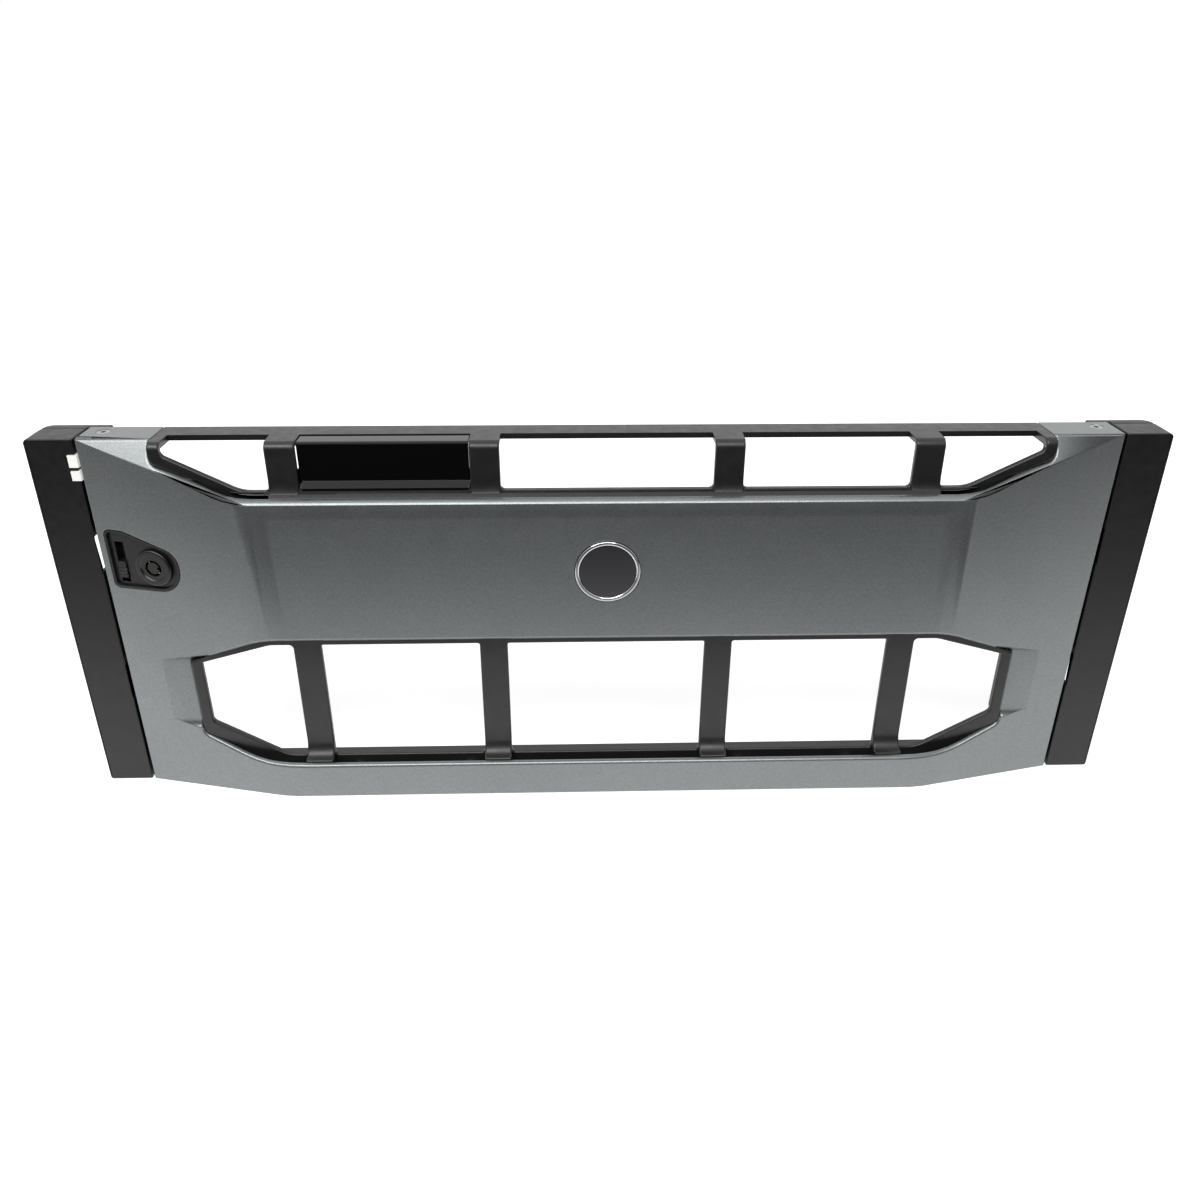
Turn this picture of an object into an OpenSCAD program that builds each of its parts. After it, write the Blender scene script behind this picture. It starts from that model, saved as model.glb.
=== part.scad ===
// Clip-on front bezel for a four-unit, 19-inch storage server.
// A painted, faceted face panel covers a moulded grille frame with two rows of windows.
// Hollow ears close both ends; a keylock and a sprung release slide hold the left end on the rack.
// X runs to the right, Y to the back, Z up. The origin is the middle of the base.

/* [Overall] */
// Width over both ears
overall_w = 482.6; // [470:0.1:500]
// Height of the bezel
overall_h = 172; // [164:0.5:190]

/* [Face panel] */
// How far the middle of the panel stands in front of the ears
bulge = 16.5; // [13:0.5:20]
// Width of each sloping end of the panel
slant_run = 71.8; // [64:0.1:78]
// Height of the upper facet, measured down from the top
facet_drop = 26; // [24.5:0.5:30]
// Thickness of the painted shell
panel_wall = 2.5; // [2:0.1:3]
// Depth of the panel and frame behind the front of the ears
shell_depth = 17; // [15:0.5:20]
// Plan radius where the flat front turns into the sloping ends
bend_r = 66; // [30:1:90]
// Radius of the crease below the upper facet
crease_r = 15; // [5:1:30]
// Radius of the panel's top front edge
top_edge_r = 2; // [1:0.25:3]
// Radius of the panel's bottom front edge
bottom_edge_r = 1.5; // [0.5:0.25:3]

/* [Openings in the panel] */
// Height of the upper opening, measured down from the top
upper_open_h = 22.4; // [19:0.2:24]
// Distance from the panel's end to the upper opening
upper_end = 30.8; // [27:0.1:34]
// Run of the upper opening's sloping corner
upper_slope_run = 33; // [26:0.5:40]
// Rise of the upper opening's sloping corner
upper_slope_rise = 13.6; // [10:0.2:16]
// Height of the base strip under the lower opening
lower_sill_h = 18.2; // [15:0.2:22]
// Height of the lower opening
lower_open_h = 66.3; // [60:0.5:72]
// Distance from the panel's end to the lower opening
lower_end = 31.3; // [28:0.1:34]
// Run of the lower opening's upper sloping corner
lower_top_run = 37.5; // [30:0.5:44]
// Drop of the lower opening's upper sloping corner
lower_top_drop = 14.8; // [11:0.2:18]
// Run of the lower opening's bottom sloping corner
lower_bottom_run = 26.5; // [20:0.5:34]
// Rise of the lower opening's bottom sloping corner
lower_bottom_rise = 12.8; // [9:0.2:16]
// Radius of the wide bends in both openings
open_bend_r = 40; // [20:1:50]
// Radius of the tight corners in both openings
open_corner_r = 5; // [3:0.5:7]
// Depth of the flat pocket's floor in front of the ears
pocket_floor = 4; // [3.5:0.1:5]
// Height of the pocket's sloping upper and lower walls
pocket_slope = 6; // [4:0.5:8]

/* [Grille frame] */
// Setback of the grille plate behind the panel's front
plate_setback = 9.5; // [8.5:0.25:11]
// Thickness of the grille plate
plate_t = 2.4; // [2:0.1:3.5]
// Thickness of the frame's rim and top strip
rim_t = 2.4; // [2:0.1:3]
// Clearance between the frame and the panel
frame_gap = 0.3; // [0.2:0.05:0.4]
// Width of each grille rib
rib_w = 12.6; // [10:0.2:15]
// Width of the middle windows
mid_window_w = 89.6; // [84:0.2:96]
// Width of the side windows
side_window_w = 71.3; // [66:0.1:74]
// Width of the frame's border at both ends of each row
end_border = 5.1; // [4.5:0.1:7]
// Height of the border above the upper opening's lower edge
upper_border = 1.6; // [1:0.1:3]
// Height of the border under the lower opening's upper edge
lower_top_border = 7.2; // [6:0.2:9]
// Where the upper windows end on top, behind the front of the ears
strip_front = 5; // [3:0.5:7]
// Radius of the frame's upper shoulder
shoulder_r = 3.5; // [3:0.25:5]
// Radius of the window corners
window_r = 2; // [1:0.25:2.5]
// Height of the swept foot under each rib
foot_h = 8; // [5:0.5:10]
// Depth of the stiffening webs behind the plate
web_d = 12; // [8:0.5:14]
// Thickness of the stiffening webs
web_t = 2; // [1.5:0.1:3]

/* [Label plate] */
// Setback of the label's face behind the grille plate's front
label_setback = 2; // [1:0.25:3]
// Height of the label's sloping ledge
label_ledge_h = 3.2; // [2:0.2:5]
// Radius of the label's upper shoulder
label_shoulder_r = 1.8; // [1:0.2:3]
// Clearance round the label plate
label_gap = 0.25; // [0.15:0.05:0.4]

/* [Badge] */
// Diameter of the badge
badge_d = 28; // [24:0.5:32]
// Height of the badge above the lower opening
badge_rise = 32.9; // [28:0.1:38]
// Width of the badge's bright ring
badge_ring_w = 1.7; // [1.2:0.1:2.5]
// Depth of the badge's recess
badge_recess = 1.2; // [0.8:0.1:1.5]
// How far the ring stands in front of the panel
badge_proud = 0.8; // [0.4:0.1:1.2]

/* [Keylock] */
// Distance of the lock from the panel's end
lock_inset = 23.5; // [22.5:0.1:24.5]
// Height of the lock above the lower opening
lock_rise = 31.1; // [29:0.1:33]
// Diameter of the lock's collar
lock_collar_d = 16.9; // [15:0.1:17.5]
// Diameter of the lock's barrel
lock_barrel_d = 12.4; // [11:0.2:13]
// Length of the lock's barrel behind its collar
lock_barrel_l = 14; // [13:0.5:16]
// Diameter of the bore that the plug turns in
lock_bore_d = 7.8; // [7:0.1:8.4]
// Diameter of the plug's centre post
lock_post_d = 5.5; // [5:0.1:6]
// Radial running clearance of the plug
lock_run_gap = 0.06; // [0.03:0.01:0.09]
// Length of the cam from the lock's axis
cam_l = 15; // [12:0.5:17]

/* [Escutcheon] */
// Depth of the recess round the lock
recess_d = 1.2; // [0.8:0.1:1.5]
// Width of the escutcheon's raised rim
esc_rim_w = 1.1; // [0.8:0.1:1.6]
// Distance from the lock's axis to the escutcheon's inner end
esc_inner_x = 12.5; // [11.5:0.1:13]
// Distance from the lock's axis down to the escutcheon's base
esc_low = 11; // [10.5:0.1:12]
// Height of the escutcheon's tall outer side
esc_side_h = 27.8; // [26:0.2:29]
// Distance from the lock's axis to the escutcheon's outer side
esc_side_x = 20.8; // [20:0.1:21.4]
// Width of the lip behind the panel
esc_lip_w = 2; // [1:0.25:2.5]
// Clearance of the escutcheon in the panel
esc_gap = 0.15; // [0.1:0.05:0.3]

/* [Release slide] */
// Distance between the slide and the lock's axis
slide_offset = 15; // [14.5:0.1:15.4]
// Width of the slot
slot_w = 4; // [3.5:0.1:4.5]
// Length of the slot
slot_l = 19.2; // [18:0.2:20]
// Height of the ribbed grip
grip_h = 8.2; // [6:0.2:9]
// How far the slide lifts
slide_travel = 8; // [6:0.5:8.5]
// Sliding clearance round the slide
slide_gap = 0.3; // [0.2:0.05:0.4]
// Width of the steel latch bar and hook plate
bar_w = 7; // [6:0.25:7.5]
// Thickness of the steel latch bar and hook plate
bar_t = 1.5; // [1.2:0.1:2]
// How far the hooks reach behind the ears' back
hook_reach = 7; // [5:0.5:10]
// Height of each hook
hook_h = 10; // [8:0.5:11]
// Distance between the two hooks on each bar
hook_pitch = 62; // [56:1:66]
// Depth of the hook's downward tooth
hook_tooth = 3; // [2:0.25:4]
// Diameter of the return spring
spring_d = 5.2; // [4.5:0.1:5.6]
// Diameter of the spring's wire
spring_wire = 0.7; // [0.5:0.05:0.9]
// Turns of the return spring
spring_turns = 8; // [6:1:10]

/* [Ears] */
// Width of each ear
ear_w = 20.3; // [18:0.1:23]
// Gap between each ear and the panel
ear_gap = 1.2; // [0.8:0.1:1.6]
// Wall of the ears
ear_wall = 2.2; // [1.8:0.1:2.8]
// Depth of the ear's front shell
ear_shell_d = 15; // [13:0.5:16]
// Thickness of the ear's back plate behind the panel's back
ear_flange_t = 3.4; // [2.5:0.1:4.5]
// How far the back plate reaches in behind the panel
ear_flange_in = 8.3; // [7:0.1:9.5]
// Radius of the ear's rear outer corner
ear_back_r = 4; // [2:0.25:5]
// Radius of the ear's upper outer corner, seen from the front
ear_corner_r = 2.4; // [1:0.2:3]
// Radius of the ear's lower outer corner, seen from the front
ear_foot_r = 1.4; // [0.8:0.2:2.4]
// Step in the ear's outer side at each parting line
ear_step = 0.8; // [0.2:0.1:0.8]
// Height of the two slit notches in the ear's inner wall
notch_h = 17; // [12:0.5:20]
// How far the notches bite into the ear's front
notch_bite = 0.3; // [0.2:0.1:1]

/* [Status lights] */
// Width of each light pipe
light_w = 3.8; // [3:0.1:4.5]
// Height of the upper light pipe
pulse_light_h = 5.3; // [4:0.1:6]
// Height of the lower light pipe
power_light_h = 4.1; // [3:0.1:5]
// Distance from the top to the upper light pipe
pulse_light_drop = 7; // [6:0.2:10]
// Gap between the two light pipes
light_pitch_gap = 1.7; // [1.2:0.1:3]

/* [Fasteners] */
// Diameter of the small screws
screw_d = 3; // [2.5:0.1:3.2]
// Diameter of the small screws' heads
screw_head_d = 5.5; // [5:0.1:6]
// Height of the small screws' heads
screw_head_h = 1.8; // [1.5:0.1:2.2]
// Diameter of the moulded screw posts
post_d = 7; // [6:0.25:8]

/* [Hidden] */
$fn = 48;

// Colours
silver_paint = "#6f7372";
black_matt = "#2b2b2b";
black_gloss = "#0c0c0e";
bright_chrome = "#c9ccd0";
zinc_steel = "#b9bcc0";
brass_metal = "#b9974c";
clear_white = "#f2f2ee";

// Width and plan of the panel
ear_in = overall_w / 2 - ear_w;
panel_half = ear_in - ear_gap;
flat_half = panel_half - slant_run;
slant = bulge / slant_run;
slant_a = atan(slant);
panel_back = shell_depth;
ear_back_y = shell_depth + ear_flange_t;
hook_tip_y = ear_back_y + hook_reach;
y_mid = (hook_tip_y - bulge - badge_proud) / 2;

// Heights
crease_z = overall_h - facet_drop;
facet_lean = bulge / facet_drop;
facet_a = atan(facet_lean);
lower_top = lower_sill_h + lower_open_h;
upper_bottom = overall_h - upper_open_h;
lock_z = lower_top + lock_rise;

// Grille plate
plate_y = plate_setback - bulge;
rib1_x = (mid_window_w + rib_w) / 2;
rib2_x = rib1_x + side_window_w + rib_w;
frame_half = panel_half - panel_wall - frame_gap;
frame_low = panel_wall + frame_gap;
frame_high = overall_h - panel_wall - frame_gap;
// Gap between the frame's base and the back of the panel, along Y
base_gap = 0.5;
// Paint-thin gap where a flat piece is screwed down on a sloping seat
seat_gap = 0.02;

// Window outlines: heights and the sloping corners of the outer windows
upper_window_z = upper_bottom + upper_border;
lower_window_top = lower_top - lower_top_border;
lower_window_z = lower_sill_h - 0.5;
upper_window_end = panel_half - upper_end - frame_gap - end_border;
lower_window_end = panel_half - lower_end - frame_gap - end_border + 0.2;
outer_start = rib2_x + rib_w / 2;

// Places along the slope, counted as depth below the painted surface
esc_front = 0.05;
esc_back = panel_wall + 1.7;
slide_front = esc_back + slide_gap;
slide_plate_t = 1.5;
base_back_w = (panel_wall / cos(slant_a) + base_gap + plate_t) * cos(slant_a);
bar_front = max(slide_front + slide_plate_t, base_back_w) + slide_gap;
keeper_front = bar_front + bar_t + slide_gap;
keeper_t = 2;
slide_x = lock_inset - slide_offset;

// Heights along the latch bar
slot_low = lock_z - 8.6;
grip_low = slot_low + slot_l - grip_h - slide_travel - 0.8;
slide_plate_low = slot_low - slide_travel - 1;
slide_plate_h = slot_l + slide_travel + 2;
slide_screw_z = slide_plate_low + 5.5;
upper_hook_z = slide_screw_z + 13;
lower_hook_z = upper_hook_z - hook_pitch;
keeper_h = 4.5;
upper_keeper_z = upper_hook_z + hook_h + slide_travel + 3.5;
lower_keeper_z = lower_hook_z + hook_h + slide_travel + 3;
bar_tab_z = upper_keeper_z + keeper_h + slide_gap;
bar_low = lower_hook_z - 4;
spring_low = bar_tab_z + bar_t;
spring_high = frame_high - rim_t;
spring_w = bar_front + bar_t + spring_d / 2 + 0.3;

// Keeper feet and hook plate screws, across and along the slide
keeper_foot_x = bar_w / 2 + slide_gap + 3.6;
hook_screw_zs = [upper_hook_z - 8, (upper_hook_z + lower_hook_z + hook_h) / 2, lower_hook_z + hook_h + 8];

// Keylock, in depths below the painted surface
keyway_d = lock_bore_d - 0.4;
keyway_depth = 4;
collar_front = -0.6;
barrel_back = recess_d + lock_barrel_l;
nut_af = 15.4;
nut_t = 2.5;
cam_t = 1.5;
cam_w = 8;
cam_front = barrel_back + 0.2;
cam_gap = 0.1;
tail_w = 4.6;
tail_back = cam_front + cam_t - cam_gap;
pin_count = 7;
pin_ring_r = (keyway_d + lock_post_d) / 4;
pin_d = 0.8;

// Status lights
light_gap = 0.1;
light_front = 0.2;
pulse_light_z = overall_h - pulse_light_drop - pulse_light_h;
power_light_z = pulse_light_z - light_pitch_gap - power_light_h;
light_x = -ear_in + 0.6 - light_w;

// Height of the notches and windows in the ears
upper_notch_z = overall_h / 2 + 25;
lower_notch_z = overall_h / 2 - 39;

// Screw places
post_x = [65, 118];
band_post_z = (lower_top + upper_bottom) / 2;
base_post_z = 9;
pilot_d = screw_d + 0.1;
flange_screw_x = panel_half - 7.8;
flange_screw_y = 10.5;
ear_screw_x = overall_w / 2 - 6;
ear_screw_zs = [14, overall_h / 2 - 8, overall_h - 16];
ear_post_x = frame_half - (post_d - 1) / 2;
frame_end_zs = [14, overall_h - 16];
ear_post_front = spring_w * cos(slant_a) - slide_x * slant + spring_d / 2 + 0.4;
ear_screw_places = concat([for (z = ear_screw_zs) [-ear_screw_x, z]], [for (z = frame_end_zs) [-ear_post_x, z]]);

// ---------- outline helpers ----------

function unit(v) = v / norm(v);

// Points of the arc of radius r that rounds the corner b between a and c
function corner_arc(a, b, c, r) =
    let (
        u = unit(a - b),
        v = unit(c - b),
        half = acos(max(-1, min(1, u * v))) / 2,
        centre = b + unit(u + v) * r / sin(half),
        start = b + u * r / tan(half) - centre,
        stop = b + v * r / tan(half) - centre,
        turn = (180 - 2 * half) * sign(cross(start, stop)),
        steps = max(2, ceil(abs(turn) / 9))
    )
    [for (i = [0:steps])
        let (t = turn * i / steps)
        centre + [start.x * cos(t) - start.y * sin(t), start.x * sin(t) + start.y * cos(t)]];

// A closed outline with every corner rounded to its own radius
function rounded(p, r) =
    let (n = len(p))
    [for (i = [0:n - 1])
        each r[i] <= 0 ? [p[i]] : corner_arc(p[(i + n - 1) % n], p[i], p[(i + 1) % n], r[i])];

// A counter-clockwise outline moved inwards by d (outwards for a negative d)
function inset(p, d) =
    let (n = len(p))
    [for (i = [0:n - 1])
        let (
            u = unit(p[i] - p[(i + n - 1) % n]),
            v = unit(p[(i + 1) % n] - p[i]),
            nu = [-u.y, u.x],
            nv = [-v.y, v.x]
        )
        p[i] + d * (nu + nv) / (1 + nu * nv)];

// Corner radii after an inset of d
function shrunk(r, d) = [for (q = r) q <= 0 ? 0 : max(q - d, 0.3)];

// The right half of a front outline with its mirror image added on the left
function both_sides(half) =
    concat(half, [for (i = [len(half) - 1:-1:0]) [-half[i].x, half[i].y]]);
function both_radii(r) = concat(r, [for (i = [len(r) - 1:-1:0]) r[i]]);

// ---------- outlines ----------

panel_plan = [[-panel_half, 0], [-flat_half, -bulge], [flat_half, -bulge], [panel_half, 0],
    [panel_half, panel_back], [-panel_half, panel_back]];
panel_plan_r = [0.8, bend_r, bend_r, 0.8, 0, 0];
panel_side = [[-bulge, 0], [panel_back, 0], [panel_back, overall_h], [0, overall_h], [-bulge, crease_z]];
panel_side_r = [bottom_edge_r, 0, 0, top_edge_r, crease_r];

upper_end_x = panel_half - upper_end;
upper_half = [[upper_end_x - upper_slope_run, upper_bottom],
    [upper_end_x, upper_bottom + upper_slope_rise],
    [upper_end_x, overall_h + 10]];
upper_outline = both_sides(upper_half);
upper_radii = both_radii([open_bend_r, open_corner_r, 0]);

lower_end_x = panel_half - lower_end;
lower_half = [[lower_end_x - lower_bottom_run, lower_sill_h],
    [lower_end_x, lower_sill_h + lower_bottom_rise],
    [lower_end_x, lower_top - lower_top_drop],
    [lower_end_x - lower_top_run, lower_top]];
lower_outline = both_sides(lower_half);
lower_radii = both_radii([open_bend_r, open_corner_r, 3, open_bend_r]);

// Outer windows, drawn for the right-hand side
upper_outer_window = [[outer_start, upper_window_z],
    [upper_window_end - upper_slope_run + 2.2, upper_window_z],
    [upper_window_end, upper_window_z + upper_slope_rise + 2.2],
    [upper_window_end, overall_h + 1],
    [outer_start, overall_h + 1]];
upper_outer_r = [window_r, 15, 3, 0, 0];
lower_outer_window = [[outer_start, lower_window_z],
    [lower_window_end - lower_bottom_run - 6.3, lower_window_z],
    [lower_window_end, lower_window_z + lower_bottom_rise + 6.9],
    [lower_window_end, lower_window_top - 8.6],
    [lower_window_end - 31.5, lower_window_top],
    [outer_start, lower_window_top]];
lower_outer_r = [window_r, 14, 3, 1, 10, window_r];

// ---------- placing helpers ----------

// Extrudes an outline of X and Z from y0 to y1
module front_prism(points, y0, y1) {
    rotate([90, 0, 0])
        translate([0, 0, -y1])
            linear_extrude(y1 - y0)
                polygon(points);
}

// Extrudes an outline of Y and Z from x0 to x1
module side_prism(points, x0, x1) {
    translate([x0, 0, 0])
        rotate([90, 0, 90])
            linear_extrude(x1 - x0)
                polygon(points);
}

module box(low, high) {
    translate(low)
        cube(high - low);
}

// A cylinder along Y from y0 to y1
module y_rod(d, y0, y1) {
    translate([0, y0, 0])
        rotate([-90, 0, 0])
            cylinder(d = d, h = y1 - y0);
}

// Moves a part from the ears' front plane to the middle of the base
module placed() {
    translate([0, -y_mid, 0])
        children();
}

module both_ends() {
    children();
    mirror([1, 0, 0])
        children();
}

// Local frame on the left sloping end: X along the slope, Y as depth below the paint
module left_slope(distance) {
    translate([distance - panel_half, -distance * slant, 0])
        rotate([0, 0, -slant_a])
            children();
}

// ---------- face panel ----------

// The panel's outside form, moved inwards by d and run out at the back by extra
module panel_block(d, extra) {
    run = [[0, 0], [0, 0], [0, 0], [0, 0], [0, extra], [0, extra]];
    plan = inset(panel_plan, d);
    side = inset(panel_side, d);
    side_run = [[0, 0], [extra, 0], [extra, 0], [0, 0], [0, 0]];
    intersection() {
        linear_extrude(overall_h)
            polygon(rounded(plan + run, shrunk(panel_plan_r, d)));
        side_prism(rounded(side + side_run, shrunk(panel_side_r, d)), -overall_w / 2, overall_w / 2);
    }
}

// Wedge that flattens the sloping end beside the lower opening; d moves its faces back
module pocket_wedge(d) {
    low = lower_sill_h + lower_bottom_rise + 6;
    high = lower_top - lower_top_drop - 0.5;
    slip = d * tan(22.5);
    side_prism([[-pocket_floor + d, low - slip], [-pocket_floor + d, high + slip],
        [-pocket_floor + d - 2 * pocket_slope, high + slip + 2 * pocket_slope],
        [-pocket_floor + d - 2 * pocket_slope, low - slip - 2 * pocket_slope]],
        lower_end_x - 10, panel_half - panel_wall - 4);
}

// Outline of the escutcheon about the lock's axis, grown by d
function esc_outline(d) =
    let (high = esc_side_h - esc_low)
    rounded(
        inset([[esc_inner_x, -esc_low], [esc_inner_x, esc_low - 3.7], [-11.5, high - 0.4],
            [-esc_side_x, high], [-esc_side_x, -esc_low]], -d),
        [esc_low + d, 8.5 + d, 8 + d, 3 + d, 3 + d]);

module esc_prism(d, w0, w1) {
    left_slope(lock_inset)
        translate([0, 0, lock_z])
            front_prism(esc_outline(d), w0, w1);
}

module face_panel() {
    color(silver_paint)
        placed()
            difference() {
                union() {
                    difference() {
                        panel_block(0, 0);
                        both_ends()
                            pocket_wedge(0);
                        difference() {
                            panel_block(panel_wall, 10);
                            both_ends()
                                pocket_wedge(panel_wall);
                        }
                    }
                    panel_posts();
                }
                front_prism(rounded(upper_outline, upper_radii), -bulge - 5, panel_back + 5);
                front_prism(rounded(lower_outline, lower_radii), -bulge - 5, panel_back + 5);
                esc_prism(0, -2, panel_wall + 0.2);
                translate([0, 0, lower_top + badge_rise]) {
                    y_rod(badge_d + 0.5, -bulge - 2, badge_recess - bulge);
                    y_rod(3.2, -bulge - 2, plate_y);
                }
                panel_post_pilots();
                both_ends()
                    flange_screw_hole();
            }
}

// Posts on the panel's back that the frame is screwed to
module panel_posts() {
    for (side = [-1, 1], x = post_x, z = [base_post_z, band_post_z])
        translate([side * x, 0, z])
            y_rod(post_d, -bulge + panel_wall / 2, plate_y);
}

module panel_post_pilots() {
    for (side = [-1, 1], x = post_x, z = [base_post_z, band_post_z])
        translate([side * x, 0, z])
            y_rod(pilot_d, -bulge + panel_wall, plate_y + 1);
}

// Countersunk hole through the panel's top flange
module flange_screw_hole() {
    translate([flange_screw_x, flange_screw_y, overall_h - 4]) {
        cylinder(d = screw_d + 0.3, h = 5);
        translate([0, 0, 4 - screw_head_h])
            cylinder(d1 = screw_d + 0.3, d2 = screw_head_d + 0.6, h = screw_head_h + 0.01);
    }
}

// ---------- grille frame ----------

// The frame's base behind the panel, solid up to the panel's back
module base_block() {
    skin = panel_wall / cos(slant_a) + base_gap;
    turn_x = flat_half + (plate_y + bulge - skin) / slant;
    end_y = skin - (panel_half - frame_half) * slant;
    facet_skin = panel_wall / cos(facet_a) + base_gap;
    top_y = facet_skin - (overall_h - frame_high) * facet_lean;
    facet_z = overall_h - (facet_skin - plate_y) / facet_lean;
    difference() {
        intersection() {
            linear_extrude(overall_h)
                polygon([[-frame_half, end_y], [-turn_x, plate_y], [turn_x, plate_y], [frame_half, end_y],
                    [frame_half, panel_back], [-frame_half, panel_back]]);
            side_prism([[plate_y, frame_low], [panel_back, frame_low], [panel_back, frame_high],
                [top_y, frame_high], [plate_y, facet_z]], -frame_half, frame_half);
        }
        both_ends()
            pocket_wedge(panel_wall + base_gap);
    }
}

// The part of the frame that fills the upper opening, inset by d with its front moved back by d_y
module upper_island(d, d_y) {
    r = max(shoulder_r - d, 0.5);
    top = overall_h - d;
    front = plate_y + d_y;
    intersection() {
        front_prism(rounded(inset(upper_outline, frame_gap + d), shrunk(upper_radii, frame_gap + d)),
            front, panel_back);
        side_prism(rounded([[front, upper_bottom - 20], [panel_back + 1, upper_bottom - 20],
            [panel_back + 1, top], [front, top]], [0, 0, 0, r]), -panel_half, panel_half);
    }
}

// The part of the frame that fills the lower opening
module lower_island(d, d_y) {
    front_prism(rounded(inset(lower_outline, frame_gap + d), shrunk(lower_radii, frame_gap + d)),
        plate_y + d_y, d > 0 ? panel_back : 0);
}

module plain_window(x, w, z0, z1, top_r) {
    points = [[x - w / 2, z0], [x + w / 2, z0], [x + w / 2, z1], [x - w / 2, z1]];
    front_prism(rounded(points, [window_r, window_r, top_r, top_r]), -bulge - 1, strip_front);
}

module frame_windows() {
    plain_window(0, mid_window_w, upper_window_z, overall_h + 1, 0);
    plain_window(0, mid_window_w, lower_window_z, lower_window_top, 1);
    both_ends() {
        side_x = (rib1_x + rib2_x) / 2;
        plain_window(side_x, side_window_w, upper_window_z, overall_h + 1, 0);
        plain_window(side_x, side_window_w, lower_window_z, lower_window_top, 1);
        front_prism(rounded(upper_outer_window, upper_outer_r), -bulge - 1, strip_front);
        front_prism(rounded(lower_outer_window, lower_outer_r), -bulge - 1, strip_front);
    }
}

// Feet that carry each rib forward to the panel's edge
module rib_feet() {
    lower_reach = plate_setback - panel_wall - frame_gap;
    facet_back = (upper_bottom - crease_z) * facet_lean + panel_wall / cos(facet_a);
    upper_reach = plate_setback - facet_back - base_gap;
    for (x = [-rib2_x, -rib1_x, rib1_x, rib2_x]) {
        foot(x, lower_sill_h - 4, lower_sill_h + 0.5, lower_reach);
        foot(x, upper_bottom - 3, upper_bottom - 0.8, upper_reach);
    }
    upper_ledge(upper_reach);
}

// The slope from the upper windows' lower edge forward to the panel
module upper_ledge(reach) {
    toe = upper_bottom - 0.8;
    profile = [[plate_y + 1, toe - 3], [plate_y + 1, upper_window_z], [plate_y - 0.4, upper_window_z],
        [plate_y - reach, toe], [plate_y - reach, toe - 3]];
    side_prism(profile, -outer_start, outer_start);
    intersection() {
        side_prism(profile, -panel_half, panel_half);
        front_prism(rounded(inset(upper_outline, frame_gap), shrunk(upper_radii, frame_gap)), -bulge, 0);
    }
}

// One foot: a concave sweep from the rib's face to its toe
module foot(x, z_base, z_toe, reach) {
    sweep = [for (a = [0:10:90]) [plate_y - reach * (1 - sin(a)), z_toe + foot_h * (1 - cos(a))]];
    side_prism(concat([[plate_y + 1, z_base], [plate_y + 1, z_toe + foot_h]],
        [for (i = [len(sweep) - 1:-1:0]) sweep[i]], [[plate_y - reach, z_base]]),
        x - rib_w / 2, x + rib_w / 2);
}

// Stiffening webs behind the middle band of the plate
module frame_webs() {
    low = lower_window_top + 2;
    high = upper_window_z - 5;
    back = plate_y + plate_t + web_d;
    for (z = [low, high - web_t])
        box([-rib2_x, plate_y + 1, z], [rib2_x, back, z + web_t]);
    for (x = [-rib2_x, -rib1_x, 0, rib1_x, rib2_x])
        box([x - web_t / 2, plate_y + 1, low], [x + web_t / 2, back, high]);
}

// Hole in the frame's left end for the lock and the slide
module lock_window() {
    high = slide_plate_low + slide_plate_h + slide_travel + 1.2;
    left_slope(lock_inset)
        box([-lock_inset - 5, -1, slide_plate_low - 1.5],
            [esc_inner_x + esc_lip_w + 1.5, max(base_back_w, slide_front + slide_plate_t) + 0.4, high]);
}

// Posts on the frame's end walls that take the ear screws
module ear_posts() {
    both_ends()
        for (z = frame_end_zs)
            translate([ear_post_x, 0, z])
                y_rod(post_d - 1, ear_post_front, panel_back);
}

module grille_frame() {
    color(black_matt)
        placed()
            difference() {
                union() {
                    difference() {
                        union() {
                            base_block();
                            upper_island(0, 0);
                            lower_island(0, 0);
                        }
                        intersection() {
                            translate([0, plate_t, 0])
                                base_block();
                            box([rim_t - frame_half, plate_y, frame_low + rim_t],
                                [frame_half - rim_t, panel_back + 10, frame_high - rim_t]);
                        }
                        upper_island(rim_t, plate_t);
                        lower_island(rim_t, plate_t);
                        translate([0, panel_back - 0.01, 0])
                            box([rim_t - frame_half, 0, frame_low + rim_t],
                                [frame_half - rim_t, plate_t + 1, frame_high - rim_t]);
                    }
                    rib_feet();
                    frame_webs();
                    ear_posts();
                }
                frame_windows();
                lock_window();
                frame_screw_holes();
            }
}

// Holes for every screw that goes into the frame
module frame_screw_holes() {
    for (side = [-1, 1], x = post_x, z = [base_post_z, band_post_z])
        translate([side * x, 0, z])
            y_rod(pilot_d + 0.2, plate_y - 1, plate_y + plate_t + 1);
    both_ends() {
        translate([flange_screw_x, flange_screw_y, frame_high - rim_t - 1])
            cylinder(d = pilot_d, h = rim_t + 2);
        for (z = frame_end_zs)
            translate([ear_post_x, 0, z])
                y_rod(pilot_d, ear_post_front + 0.5, panel_back + 1);
    }
    for (z = [upper_keeper_z, lower_keeper_z])
        left_slope(slide_x)
            translate([keeper_foot_x, 0, z + keeper_h / 2])
                y_rod(pilot_d, base_back_w - plate_t - 2, base_back_w + 1);
    mirror([1, 0, 0])
        left_slope(slide_x)
            for (z = hook_screw_zs)
                translate([0, 0, z])
                    y_rod(pilot_d, base_back_w - plate_t - 2, base_back_w + 1);
}

// ---------- label plate and badge ----------

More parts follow.
